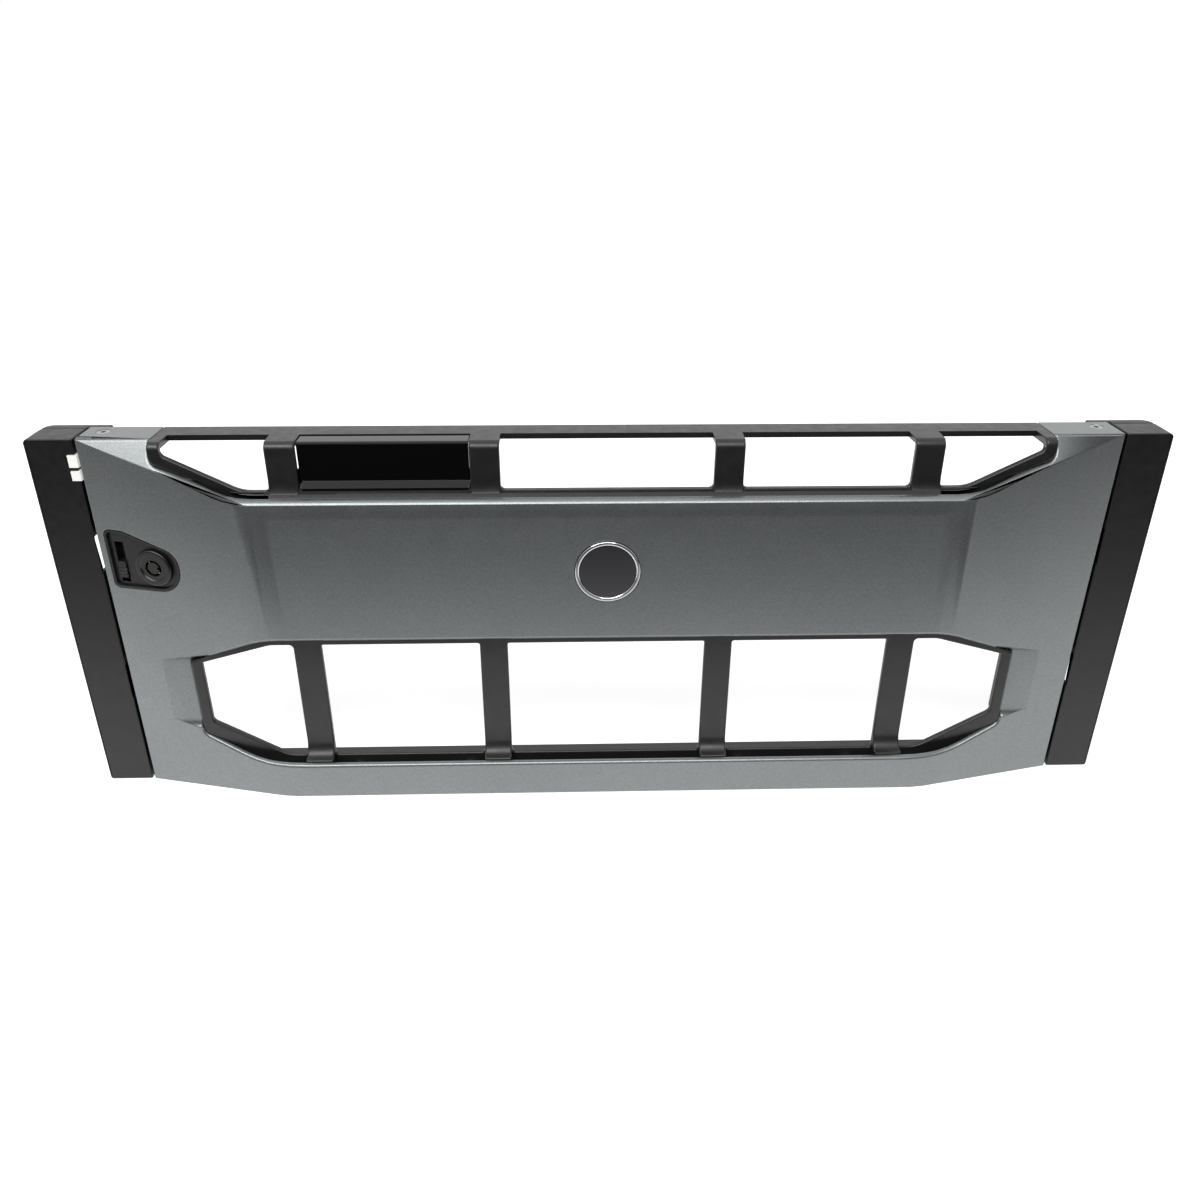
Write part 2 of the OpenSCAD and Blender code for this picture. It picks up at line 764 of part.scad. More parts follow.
module label_plate() {
    x = (rib1_x + rib2_x) / 2;
    half = side_window_w / 2 - label_gap;
    low = upper_window_z + label_gap;
    face = plate_y + label_setback;
    top = overall_h - 0.4;
    back = strip_front - label_gap;
    wall = 2.2;
    flange_y = plate_y + plate_t + 0.15;
    profile = rounded([[plate_y + 0.1, low], [back, low], [back, low + 1.5], [face + wall, low + 1.5],
        [face + wall, top - wall], [back, top - wall], [back, top], [face, top],
        [face, low + label_ledge_h + 0.8], [plate_y + 0.1, low + 0.8]],
        [0, 0, 0, 0, 0.5, 0, 0, label_shoulder_r, 0.4, 0.2]);
    color(black_gloss)
        placed()
            translate([-x, 0, 0])
                union() {
                    intersection() {
                        side_prism(profile, -half, half);
                        front_prism(rounded([[-half, low], [half, low], [half, top + 1], [-half, top + 1]],
                            [window_r, window_r, 0, 0]), plate_y, strip_front);
                    }
                    box([-half - 2.5, flange_y, low - 3], [half + 2.5, flange_y + 1.5, overall_h - 12]);
                }
}

module badge_ring() {
    r = badge_d / 2;
    seat = badge_recess - bulge;
    front = -bulge - badge_proud;
    color(bright_chrome)
        placed()
            translate([0, seat, lower_top + badge_rise])
                rotate([90, 0, 0])
                    rotate_extrude($fn = 96)
                        polygon(rounded([[r - badge_ring_w, 0], [r, 0], [r, seat - front],
                            [r - badge_ring_w, seat - front]], [0, 0, 0.5, 0.7]));
}

module badge_disc() {
    r = badge_d / 2 - badge_ring_w - 0.05;
    seat = badge_recess - bulge;
    thick = badge_recess + badge_proud - 0.6;
    color(black_gloss)
        placed()
            translate([0, seat, lower_top + badge_rise])
                rotate([90, 0, 0]) {
                    rotate_extrude($fn = 96)
                        polygon(rounded([[0, 0], [r, 0], [r, thick], [0, thick]], [0, 0, 0.3, 0]));
                    translate([0, 0, -plate_setback + badge_recess + 0.3])
                        cylinder(d = 3, h = plate_setback - badge_recess);
                }
}

// ---------- ears ----------

// Outline of an ear in plan between y0 and y1, set in by step; drawn for the left ear
function ear_plan(y0, y1, step, r0, r1) =
    let (outer = step - overall_w / 2)
    rounded([[outer, y0], [-ear_in, y0], [-ear_in, y1], [outer, y1]], [r0, r0 / 2, 0, r1]);

// The outline of the left ear seen from the front, as a block over its whole depth
module ear_front_block() {
    outer = -overall_w / 2;
    inner = ear_flange_in - panel_half + 1;
    front_prism(rounded([[outer, 0], [inner, 0], [inner, overall_h], [outer, overall_h]],
        [ear_foot_r, 0, 0, ear_corner_r]), -1, ear_back_y + 1);
}

module ear_shell() {
    first = 9;
    difference() {
        intersection() {
            ear_front_block();
            union() {
                linear_extrude(overall_h)
                    polygon(ear_plan(0, first, 0, 1.2, 0));
                linear_extrude(overall_h)
                    polygon(ear_plan(first, ear_shell_d, ear_step, 0, 0));
            }
        }
        box([ear_wall + ear_step - overall_w / 2, ear_wall, ear_wall],
            [-ear_in - ear_wall, ear_shell_d + 1, overall_h - ear_wall]);
        for (z = [upper_notch_z, lower_notch_z])
            translate([0, 0, z])
                linear_extrude(notch_h)
                    polygon([[1 - ear_in, -1], [-ear_in - notch_bite, -1],
                        [-ear_in - notch_bite, 0.8], [-ear_in - ear_wall - 1, 3.4],
                        [-ear_in - ear_wall - 1, ear_shell_d + 1], [1 - ear_in, ear_shell_d + 1]]);
    }
    difference() {
        for (z = ear_screw_zs)
            translate([-ear_screw_x, 0, z])
                y_rod(post_d, ear_wall / 2, ear_shell_d);
        for (z = ear_screw_zs)
            translate([-ear_screw_x, 0, z])
                y_rod(pilot_d, ear_shell_d - 8, ear_shell_d + 1);
        box([-overall_w, -1, 0], [ear_wall / 2 + ear_step - overall_w / 2, ear_shell_d + 1, overall_h]);
    }
}

// The ear's back plate, with the flange that closes the gap behind the panel
module ear_back() {
    outer = 2 * ear_step - overall_w / 2;
    low_reach = 16;
    difference() {
        intersection() {
            ear_front_block();
            union() {
                linear_extrude(overall_h)
                    polygon(rounded([[outer, ear_shell_d], [-ear_in, ear_shell_d], [-ear_in, ear_back_y],
                        [outer, ear_back_y]], [0, 0, 0, ear_back_r]));
                linear_extrude(overall_h)
                    polygon(rounded([[-ear_in - 1, panel_back], [ear_flange_in - panel_half, panel_back],
                        [ear_flange_in - panel_half, ear_back_y], [-ear_in - 1, ear_back_y]], [0, 1, 1, 0]));
            }
        }
        for (z = [upper_notch_z, lower_notch_z])
            box([4.5 - overall_w / 2, ear_shell_d - 1, z - low_reach],
                [-ear_in - 2.8, ear_back_y + 1, z + notch_h]);
        for (place = ear_screw_places)
            translate([place.x, 0, place.y]) {
                y_rod(pilot_d + 0.2, ear_shell_d - 1, ear_back_y + 1);
                y_rod(screw_head_d + 0.5, ear_back_y - 1, ear_back_y + 1);
            }
    }
}

module left_ear() {
    color(black_matt)
        placed()
            difference() {
                ear_shell();
                light_holes(0);
            }
}

module right_ear() {
    color(black_matt)
        placed()
            mirror([1, 0, 0])
                ear_shell();
}

module left_ear_back() {
    color(black_matt)
        placed()
            difference() {
                ear_back();
                light_holes(0.15);
            }
}

module right_ear_back() {
    color(black_matt)
        placed()
            mirror([1, 0, 0])
                ear_back();
}

// ---------- status lights ----------

module light_holes(extra) {
    grow = light_gap + extra;
    for (row = [[pulse_light_z, pulse_light_h], [power_light_z, power_light_h]])
        box([light_x - grow, -1, row[0] - grow], [light_x + light_w + 3, ear_shell_d, row[0] + row[1] + grow]);
    for (row = [[pulse_light_z, pulse_light_h], [power_light_z, power_light_h]])
        box([light_x - grow, ear_shell_d - 1, row[0] - grow],
            [light_x + light_w + grow, ear_back_y + 1, row[0] + row[1] + grow]);
}

// A clear bar that carries light from the back of the ear to its front
module light_pipe(z, h) {
    color(clear_white)
        placed()
            box([light_x, -light_front, z], [light_x + light_w, ear_back_y - light_front, z + h]);
}

module pulse_light_pipe() {
    light_pipe(pulse_light_z, pulse_light_h);
}

module power_light_pipe() {
    light_pipe(power_light_z, power_light_h);
}

// ---------- keylock ----------

// Local frame of the lock's axis
module on_lock() {
    placed()
        left_slope(lock_inset)
            translate([0, 0, lock_z])
                children();
}

module lock_escutcheon() {
    lip_reach = (lock_inset - panel_wall - 0.2) / cos(slant_a);
    color(black_matt)
        on_lock()
            difference() {
                union() {
                    front_prism(esc_outline(-esc_gap), esc_front, panel_wall + 0.3);
                    intersection() {
                        front_prism(esc_outline(esc_lip_w), panel_wall + 0.1, esc_back);
                        box([-lip_reach, 0, -overall_h], [overall_h, esc_back + 1, overall_h]);
                    }
                }
                front_prism(esc_outline(-esc_gap - esc_rim_w), -1, recess_d);
                y_rod(lock_barrel_d + 0.1, 0, esc_back + 1);
                translate([-slide_offset / cos(slant_a), 0, 0])
                    box([-slot_w / 2, -1, slot_low - lock_z], [slot_w / 2, esc_back + 1, slot_low + slot_l - lock_z]);
            }
}

module lock_body() {
    collar_r = lock_collar_d / 2;
    color(black_matt)
        on_lock()
            difference() {
                union() {
                    translate([0, recess_d, 0])
                        rotate([90, 0, 0])
                            rotate_extrude()
                                polygon(rounded([[0, 0], [collar_r, 0], [collar_r, recess_d - collar_front],
                                    [collar_r - 2.4, recess_d - collar_front], [collar_r - 2.8, recess_d - collar_front - 0.5],
                                    [0, recess_d - collar_front - 0.5]], [0, 0, 0.8, 0.2, 0, 0]));
                    intersection() {
                        y_rod(lock_barrel_d, recess_d - 0.1, barrel_back);
                        box([-lock_barrel_d, -5, 0.8 - lock_barrel_d / 2], [lock_barrel_d, 40, lock_barrel_d / 2 - 0.8]);
                    }
                }
                y_rod(keyway_d, -5, keyway_depth + 1);
                y_rod(lock_bore_d, keyway_depth, barrel_back + 1);
            }
}

module lock_nut() {
    color(zinc_steel)
        on_lock()
            difference() {
                translate([0, esc_back + 0.05, 0])
                    rotate([-90, 30, 0])
                        cylinder(d = nut_af / cos(30), h = nut_t, $fn = 6);
                y_rod(lock_barrel_d + 0.1, 0, esc_back + nut_t + 1);
            }
}

// Places one child at each pin round the plug's centre post
module pin_ring() {
    for (i = [0:pin_count - 1])
        rotate([0, i * 360 / pin_count + 12, 0])
            translate([pin_ring_r, 0, 0])
                children();
}

module lock_plug() {
    color(black_matt)
        on_lock()
            difference() {
                union() {
                    y_rod(lock_bore_d - 2 * lock_run_gap, keyway_depth + lock_run_gap, barrel_back);
                    y_rod(lock_post_d, collar_front + 0.6, keyway_depth + 1);
                    box([-tail_w / 2, barrel_back - 1, -tail_w / 2], [tail_w / 2, tail_back, tail_w / 2]);
                }
                box([lock_post_d / 2 - 0.9, -2, -0.6], [lock_post_d, keyway_depth, 0.6]);
                y_rod(pilot_d, barrel_back - 6, tail_back + 1);
                pin_ring()
                    y_rod(pin_d + 0.04, keyway_depth - 1, keyway_depth + 2);
            }
}

module lock_pins() {
    color(brass_metal)
        on_lock()
            pin_ring()
                y_rod(pin_d, keyway_depth - 2.6, keyway_depth + 1.98);
}

module lock_cam() {
    color(zinc_steel)
        on_lock()
            difference() {
                union() {
                    y_rod(11, cam_front, cam_front + cam_t);
                    box([-cam_w / 2, cam_front, cam_w / 2 - cam_l], [cam_w / 2, cam_front + cam_t, 0]);
                    translate([0, 0, cam_w / 2 - cam_l])
                        y_rod(cam_w, cam_front, cam_front + cam_t);
                }
                box([-tail_w / 2 - cam_gap, cam_front - 1, -tail_w / 2 - cam_gap],
                    [tail_w / 2 + cam_gap, cam_front + cam_t + 1, tail_w / 2 + cam_gap]);
            }
}

// A pan-head screw along Y whose head sits on y = 0 and whose shank runs forward
module screw(length) {
    y_rod(screw_d, -length, 0.5);
    rotate([-90, 0, 0])
        rotate_extrude()
            polygon(rounded([[0, 0], [screw_head_d / 2, 0], [screw_head_d / 2, screw_head_h],
                [0, screw_head_h]], [0, 0, 0.9, 0]));
}

module lock_cam_screw() {
    color(zinc_steel)
        on_lock()
            translate([0, cam_front + cam_t, 0])
                screw(5);
}

// ---------- release slide and latch ----------

// Local frame of the slide
module on_slide() {
    placed()
        left_slope(slide_x)
            children();
}

module release_slider() {
    grip_w = slot_w - slide_gap;
    tip = 0.3;
    ridge = 0.45;
    pitch = grip_h / 5;
    grip = concat([[slide_front + 0.5, grip_low], [slide_front + 0.5, grip_low + grip_h]],
        [for (i = [4:-1:0]) each [[tip + ridge, grip_low + (i + 0.9) * pitch], [tip, grip_low + (i + 0.7) * pitch],
            [tip, grip_low + (i + 0.3) * pitch], [tip + ridge, grip_low + (i + 0.1) * pitch]]]);
    color(black_matt)
        on_slide()
            difference() {
                union() {
                    side_prism(grip, -grip_w / 2, grip_w / 2);
                    box([-bar_w / 2, slide_front, slide_plate_low],
                        [bar_w / 2, slide_front + slide_plate_t, slide_plate_low + slide_plate_h]);
                    translate([0, 0, slide_screw_z])
                        y_rod(bar_w - 0.5, slide_front + 0.5, bar_front);
                }
                translate([0, 0, slide_screw_z])
                    y_rod(pilot_d, slide_front - 0.5, bar_front + 1);
            }
}

module slider_screw() {
    color(zinc_steel)
        on_slide()
            translate([0, bar_front + bar_t, slide_screw_z])
                screw(bar_front + bar_t - slide_front);
}

// A hook that runs straight back from its strip and ends in a downward tooth
module hook(z, strip_y) {
    tip = hook_tip_y;
    side_prism(rounded([[strip_y, z], [tip - 3, z], [tip - 3, z - hook_tooth], [tip, z - hook_tooth + 1.5],
        [tip, z + hook_h - 3], [tip - 3, z + hook_h], [strip_y, z + hook_h]], [0, 0.8, 0.5, 0.5, 1, 1, 0]),
        0, bar_t);
}

// Both hooks of one strip, placed from the slope's origin in the bezel's own directions
module hooks(strip_w) {
    rotate([0, 0, slant_a])
        translate([1.2 + strip_w * sin(slant_a), slide_x * slant, 0])
            for (z = [upper_hook_z, lower_hook_z])
                hook(z, (strip_w + bar_t / 2) * cos(slant_a) - slide_x * slant);
}

module latch_bar() {
    color(zinc_steel)
        on_slide()
            difference() {
                union() {
                    box([-bar_w / 2, bar_front, bar_low], [bar_w / 2, bar_front + bar_t, bar_tab_z + bar_t]);
                    box([-bar_w / 2, bar_front, bar_tab_z],
                        [bar_w / 2, spring_w + spring_d / 2 + 0.6, bar_tab_z + bar_t]);
                    hooks(bar_front);
                }
                translate([0, 0, slide_screw_z])
                    y_rod(pilot_d, bar_front - 1, bar_front + bar_t + 1);
            }
}

// Round wire wound into an open helix with its ends lying on the two seats
module latch_spring() {
    color(zinc_steel)
        on_slide()
            translate([0, spring_w, spring_low + 0.05])
                helix(spring_d - spring_wire, spring_wire, spring_high - spring_low - 0.1, spring_turns);
}

module helix(mean_d, wire, length, turns) {
    sides = 8;
    per_turn = 16;
    rings = turns * per_turn;
    rise = length - wire;
    r = mean_d / 2;
    points = [for (i = [0:rings])
        let (a = 360 * i / per_turn, z = wire / 2 + rise * i / rings)
        for (k = [0:sides - 1])
            let (b = 360 * k / sides, q = r + wire / 2 * cos(b))
            [q * cos(a), q * sin(a), z + wire / 2 * sin(b)]];
    skin = [for (i = [0:rings - 1], k = [0:sides - 1])
        let (j = (k + 1) % sides)
        [i * sides + k, i * sides + j, (i + 1) * sides + j, (i + 1) * sides + k]];
    first = [for (k = [sides - 1:-1:0]) k];
    last = [for (k = [0:sides - 1]) rings * sides + k];
    polyhedron(points, concat([first], skin, [last]), convexity = 10);
}

// Bracket that holds the bar against the frame and lets it slide
module latch_keeper(z) {
    left = -bar_w / 2 - 0.4;
    right = keeper_foot_x + 3.4;
    color(black_matt)
        on_slide()
            difference() {
                union() {
                    box([left, keeper_front, z], [right, keeper_front + keeper_t, z + keeper_h]);
                    box([bar_w / 2 + slide_gap, base_back_w + seat_gap, z], [right, keeper_front + keeper_t, z + keeper_h]);
                }
                translate([keeper_foot_x, 0, z + keeper_h / 2])
                    y_rod(pilot_d, base_back_w - 1, keeper_front + keeper_t + 1);
            }
}

module upper_latch_keeper() {
    latch_keeper(upper_keeper_z);
}

module lower_latch_keeper() {
    latch_keeper(lower_keeper_z);
}

module keeper_screws() {
    color(zinc_steel)
        on_slide()
            for (z = [upper_keeper_z, lower_keeper_z])
                translate([keeper_foot_x, keeper_front + keeper_t, z + keeper_h / 2])
                    screw(keeper_front + keeper_t - base_back_w + plate_t - 0.5);
}

module hook_plate() {
    seat = base_back_w + seat_gap;
    low = lower_hook_z - 4;
    high = upper_hook_z + hook_h + 4;
    color(zinc_steel)
        placed()
            mirror([1, 0, 0])
                left_slope(slide_x)
                    difference() {
                        union() {
                            box([-bar_w / 2, seat, low], [bar_w / 2, seat + bar_t, high]);
                            hooks(seat);
                        }
                        for (z = hook_screw_zs)
                            translate([0, 0, z])
                                y_rod(pilot_d, seat - 1, seat + bar_t + 1);
                    }
}

module hook_plate_screws() {
    color(zinc_steel)
        placed()
            mirror([1, 0, 0])
                left_slope(slide_x)
                    for (z = hook_screw_zs)
                        translate([0, base_back_w + seat_gap + bar_t, z])
                            screw(bar_t + plate_t - 0.5);
}

// ---------- fasteners ----------

module flange_screws() {
    length = overall_h - frame_high + rim_t - 0.7;
    color(zinc_steel)
        placed()
            both_ends()
                translate([flange_screw_x, flange_screw_y, overall_h - length - 0.2])
                    difference() {
                        union() {
                            cylinder(d = screw_d, h = length - 0.5);
                            translate([0, 0, length - screw_head_h])
                                cylinder(d1 = screw_d, d2 = screw_head_d, h = screw_head_h);
                        }
                        translate([0, 0, length - 1.2])
                            cylinder(d = 2.4, h = 2, $fn = 6);
                    }
}

module frame_screws() {
    color(zinc_steel)
        placed()
            for (side = [-1, 1], x = post_x, z = [base_post_z, band_post_z])
                translate([side * x, plate_y + plate_t, z])
                    screw(plate_t + 4.5);
}

module ear_screws() {
    for (place = ear_screw_places)
        translate([place.x, ear_back_y - 1, place.y])
            screw(place.x == -ear_screw_x ? ear_back_y - ear_shell_d + 5 : ear_back_y - ear_post_front - 1.8);
}

module left_ear_screws() {
    color(zinc_steel)
        placed()
            ear_screws();
}

module right_ear_screws() {
    color(zinc_steel)
        placed()
            mirror([1, 0, 0])
                ear_screws();
}

face_panel();
grille_frame();
label_plate();
badge_ring();
badge_disc();
left_ear();
left_ear_back();
right_ear();
right_ear_back();
lock_escutcheon();
lock_body();
lock_nut();
lock_plug();
lock_pins();
lock_cam();
lock_cam_screw();
release_slider();
slider_screw();
latch_bar();
latch_spring();
upper_latch_keeper();
lower_latch_keeper();
keeper_screws();
hook_plate();
hook_plate_screws();
pulse_light_pipe();
power_light_pipe();
flange_screws();
frame_screws();
left_ear_screws();
right_ear_screws();
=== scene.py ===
"""Looks of a clip-on front bezel for a four-unit, 19-inch storage server.

The CAD frame gives every shape and its place. This script puts finished surfaces on it:
rounded lips and edges on the moulded parts, flake paint, grained plastic, plated steel,
glossy label and badge, and a wound spring.
"""

import logging
import math
from dataclasses import dataclass, field
from enum import Enum
from typing import Callable, Iterable

import bmesh
import bpy
from mathutils import Matrix, Vector


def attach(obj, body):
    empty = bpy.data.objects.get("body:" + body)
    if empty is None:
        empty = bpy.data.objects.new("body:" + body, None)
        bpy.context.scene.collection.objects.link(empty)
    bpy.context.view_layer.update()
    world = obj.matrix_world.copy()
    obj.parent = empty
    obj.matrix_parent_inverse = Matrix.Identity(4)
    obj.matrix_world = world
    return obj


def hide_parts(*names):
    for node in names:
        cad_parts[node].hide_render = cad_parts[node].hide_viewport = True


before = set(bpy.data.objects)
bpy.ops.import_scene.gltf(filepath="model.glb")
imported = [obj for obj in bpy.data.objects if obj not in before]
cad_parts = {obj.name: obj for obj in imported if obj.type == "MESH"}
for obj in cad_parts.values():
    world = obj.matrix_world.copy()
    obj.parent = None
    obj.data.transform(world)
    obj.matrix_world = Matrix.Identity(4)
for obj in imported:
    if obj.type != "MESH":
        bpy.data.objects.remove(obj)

LOG = logging.getLogger("bezel")
MM = 0.001
Point = tuple[float, float, float]
EdgeTest = Callable[[bmesh.types.BMEdge], bool]


# ---------- materials ----------

def linear(colour: str) -> tuple[float, float, float, float]:
    """Turns an sRGB hex colour into Blender's linear colour.

    Args:
        colour: six hex digits with a leading hash.

    Returns:
        Linear red, green and blue with an alpha of 1.
    """
    values = [int(colour[i:i + 2], 16) / 255 for i in (1, 3, 5)]
    red, green, blue = (v / 12.92 if v <= 0.04045 else ((v + 0.055) / 1.055) ** 2.4 for v in values)
    return red, green, blue, 1.0


def add(tree: bpy.types.NodeTree, kind: str, inputs: dict | None = None, **settings) -> bpy.types.Node:
    """Adds one node with its settings, values and links.

    Args:
        tree: the node tree that gets the node.
        kind: Blender's name for the node type.
        inputs: input names or numbers, each with a value or with the output socket to link.
        settings: properties of the node itself.

    Returns:
        The new node.
    """
    node = tree.nodes.new(kind)
    for name, value in settings.items():
        setattr(node, name, value)
    for name, value in (inputs or {}).items():
        if isinstance(value, bpy.types.NodeSocket):
            tree.links.new(value, node.inputs[name])
        else:
            node.inputs[name].default_value = value
    return node


def millimetres(tree: bpy.types.NodeTree) -> bpy.types.NodeSocket:
    """Returns Object coordinates counted in millimetres."""
    place = add(tree, "ShaderNodeTexCoord")
    scaled = add(tree, "ShaderNodeVectorMath", {0: place.outputs["Object"], "Scale": 1000.0}, operation="SCALE")
    return scaled.outputs[0]


def grains(tree: bpy.types.NodeTree, place: bpy.types.NodeSocket, size: float, detail: float = 2.0) -> bpy.types.NodeSocket:
    """Adds noise whose lumps are about the given size.

    Args:
        tree: the material's node tree.
        place: coordinates in millimetres.
        size: width of a lump in millimetres.
        detail: how many finer layers lie on it.

    Returns:
        The noise value from 0 to 1.
    """
    return add(tree, "ShaderNodeTexNoise", {"Vector": place, "Scale": 1.0 / size, "Detail": detail}).outputs[0]


@dataclass(frozen=True)
class Finish:
    """A solid surface with fine grain, a slow drift of tone and some gloss variation."""

    name: str
    colour: str
    roughness: float
    metallic: float = 0.0
    ior: float = 1.5
    tone_drift: float = 0.06
    drift_mm: float = 22.0
    grain_mm: float = 0.5
    grain_depth_mm: float = 0.01
    rough_drift: float = 0.05
    coat: float = 0.0
    coat_roughness: float = 0.1
    glow: float = 0.0

    def surface(self, tree: bpy.types.NodeTree) -> bpy.types.Node:
        """Adds the shader with its tone, gloss and grain.

        Args:
            tree: the material's node tree.

        Returns:
            The Principled shader node.
        """
        place = millimetres(tree)
        drift = grains(tree, place, self.drift_mm)
        tone = add(tree, "ShaderNodeMapRange", {"Value": drift, "From Min": 0.3, "From Max": 0.7,
                   "To Min": 1 - self.tone_drift, "To Max": 1 + self.tone_drift})
        colour = add(tree, "ShaderNodeVectorMath", {0: linear(self.colour)[:3], "Scale": tone.outputs[0]},
                     operation="SCALE")
        gloss = add(tree, "ShaderNodeMapRange", {"Value": grains(tree, place, self.drift_mm / 5),
                    "From Min": 0.3, "From Max": 0.7,
                    "To Min": self.roughness - self.rough_drift, "To Max": self.roughness + self.rough_drift})
        values = {"Base Color": colour.outputs[0], "Roughness": gloss.outputs[0], "Metallic": self.metallic,
                  "Coat Weight": self.coat, "Coat Roughness": self.coat_roughness}
        # Painted light: a glow makes the surface emit in its own colour though it is no lamp.
        if self.glow:
            values["Emission Color"] = colour.outputs[0]
            values["Emission Strength"] = self.glow
        if self.metallic < 1:
            values["IOR"] = self.ior
        if self.grain_depth_mm:
            bump = add(tree, "ShaderNodeBump", {"Height": grains(tree, place, self.grain_mm),
                       "Strength": 1.0, "Distance": self.grain_depth_mm * MM})
            values["Normal"] = bump.outputs[0]
        return add(tree, "ShaderNodeBsdfPrincipled", values)

    def material(self) -> bpy.types.Material:
        """Makes the material."""
        made = bpy.data.materials.new(self.name)
        made.use_nodes = True
        tree = made.node_tree
        tree.nodes.clear()
        shader = self.surface(tree)
        add(tree, "ShaderNodeOutputMaterial", {"Surface": shader.outputs[0]})
        made.diffuse_color = linear(self.colour)
        return made


@dataclass(frozen=True)
class FlakePaint(Finish):
    """Silver-grey paint with aluminium flakes: single flakes catch the light as fine sparkle."""

    flake_mm: float = 0.32
    flake_tone: float = 0.14

    def surface(self, tree: bpy.types.NodeTree) -> bpy.types.Node:
        """Adds flakes of their own brightness over the plain surface.

        Args:
            tree: the material's node tree.

        Returns:
            The Principled shader node.
        """
        shader = super().surface(tree)
        place = millimetres(tree)
        plain = shader.inputs["Base Color"].links[0].from_socket
        flake = add(tree, "ShaderNodeTexVoronoi", {"Vector": place, "Scale": 1.0 / self.flake_mm})
        spark = add(tree, "ShaderNodeSeparateColor", {"Color": flake.outputs["Color"]})
        level = add(tree, "ShaderNodeMapRange", {"Value": spark.outputs[0], "To Min": 1 - self.flake_tone,
                    "To Max": 1 + self.flake_tone})
        hue = add(tree, "ShaderNodeMix", {"Factor": spark.outputs[1], "A": linear("#fdfaf2"),
                  "B": linear("#f2f8ff")}, data_type="RGBA")
        tinted = add(tree, "ShaderNodeVectorMath", {0: plain, 1: hue.outputs["Result"]}, operation="MULTIPLY")
        final = add(tree, "ShaderNodeVectorMath", {0: tinted.outputs[0], "Scale": level.outputs[0]},
                    operation="SCALE")
        tree.links.new(final.outputs[0], shader.inputs["Base Color"])
        return shader


class Look(Enum):
    """Every finish of the bezel."""

    # Painted ABS: two-layer flake paint, satin under a thin clear coat
    SILVER = FlakePaint("silver_flake_paint", "#86898a", 0.36, metallic=0.75, tone_drift=0.02, drift_mm=40,
                        grain_mm=0.6, grain_depth_mm=0.006, rough_drift=0.02, coat=0.2, coat_roughness=0.25)
    # Glass-filled ABS moulded in a fine spark-eroded mould: satin with small highlights on every edge
    FRAME = Finish("black_moulded_abs", "#222222", 0.36, grain_mm=0.7, grain_depth_mm=0.008)
    # The ears' coarser texture spreads the light wider
    EAR = Finish("black_textured_abs", "#141414", 0.4, grain_mm=0.5, grain_depth_mm=0.01)
    # Polished acrylic, back printed in black: a deep mirror
    ACRYLIC = Finish("black_polished_acrylic", "#040405", 0.06, ior=1.49, rough_drift=0.01, grain_depth_mm=0)
    # The badge's printed disc under clear resin
    RESIN = Finish("charcoal_resin_disc", "#2c2c30", 0.22, ior=1.53, rough_drift=0.02, grain_depth_mm=0, coat=1.0,
                   coat_roughness=0.04)
    # Bright nickel-chrome plating
    CHROME = Finish("bright_chrome_plate", "#dcdde0", 0.08, metallic=1.0, tone_drift=0.01, rough_drift=0.01,
                    grain_depth_mm=0)
    # Die-cast zinc with black e-coat: semi-gloss
    LOCK = Finish("black_coated_zinc", "#0b0b0c", 0.3, ior=1.55, rough_drift=0.03, grain_depth_mm=0.004)
    # The escutcheon and the slide: finer, deeper black
    TRIM = Finish("black_fine_abs", "#121212", 0.4, grain_mm=0.5, grain_depth_mm=0.006)
    # Clear-passivated zinc plating on pressed steel
    ZINC = Finish("zinc_plated_steel", "#b7babd", 0.3, metallic=1.0, tone_drift=0.08, drift_mm=6,
                  grain_mm=0.4, grain_depth_mm=0.004)
    # Drawn spring wire, oiled
    WIRE = Finish("drawn_spring_wire", "#9b9ea2", 0.28, metallic=1.0, drift_mm=4, grain_mm=0.2,
                  grain_depth_mm=0.002)
    # Turned brass pins
    BRASS = Finish("turned_brass", "#c9a24e", 0.2, metallic=1.0, drift_mm=1, grain_depth_mm=0)
    # Milky polycarbonate light pipe. Its glow is painted light: the pipe emits in its own colour so that it reads as
    # lit, though no lamp is behind it.
    LENS = Finish("milky_polycarbonate_painted_glow", "#f6f6f3", 0.25, ior=1.58, tone_drift=0.01, grain_depth_mm=0, coat=0.3, glow=0.4)
    # Pad-printed light grey ink
    INK = Finish("pad_printed_ink", "#b9babb", 0.6, tone_drift=0.12, drift_mm=0.8, grain_depth_mm=0)


class Paints:
    """Makes each finish's material once."""

    def __init__(self) -> None:
        """Starts with no material made."""
        self.made: dict[Look, bpy.types.Material] = {}

    def get(self, look: Look) -> bpy.types.Material:
        """Returns the material of a finish."""
        if look not in self.made:
            self.made[look] = look.value.material()
        return self.made[look]


# ---------- shaping ----------

def cad_copy(node: str) -> bmesh.types.BMesh:
    """Copies a CAD node's mesh, joins its loose triangles and clears the cuts across flat faces.

    Args:
        node: name of the CAD node.

    Returns:
        A closed mesh of flat faces.
    """
    bm = bmesh.new()
    bm.from_mesh(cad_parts[node].data)
    bmesh.ops.remove_doubles(bm, verts=bm.verts, dist=2e-6)
    bmesh.ops.dissolve_limit(bm, angle_limit=math.radians(0.3), use_dissolve_boundaries=False,
                             verts=bm.verts, edges=bm.edges, delimit=set())
    return bm


def is_sharp(edge: bmesh.types.BMEdge, width: float, least: float) -> bool:
    """Tells if an outside edge can take a rounding of the given width.

    Args:
        edge: the edge.
        width: width of the rounding in metres.
        least: smallest turn between the edge's faces, in degrees.

    Returns:
        True if the edge is convex, turns enough and has room on both faces.
    """
    if len(edge.link_faces) != 2 or edge.calc_face_angle_signed(0.0) < math.radians(least):
        return False
    length = max(edge.calc_length(), 1e-7)
    return all(face.calc_area() / length > 1.2 * width for face in edge.link_faces)


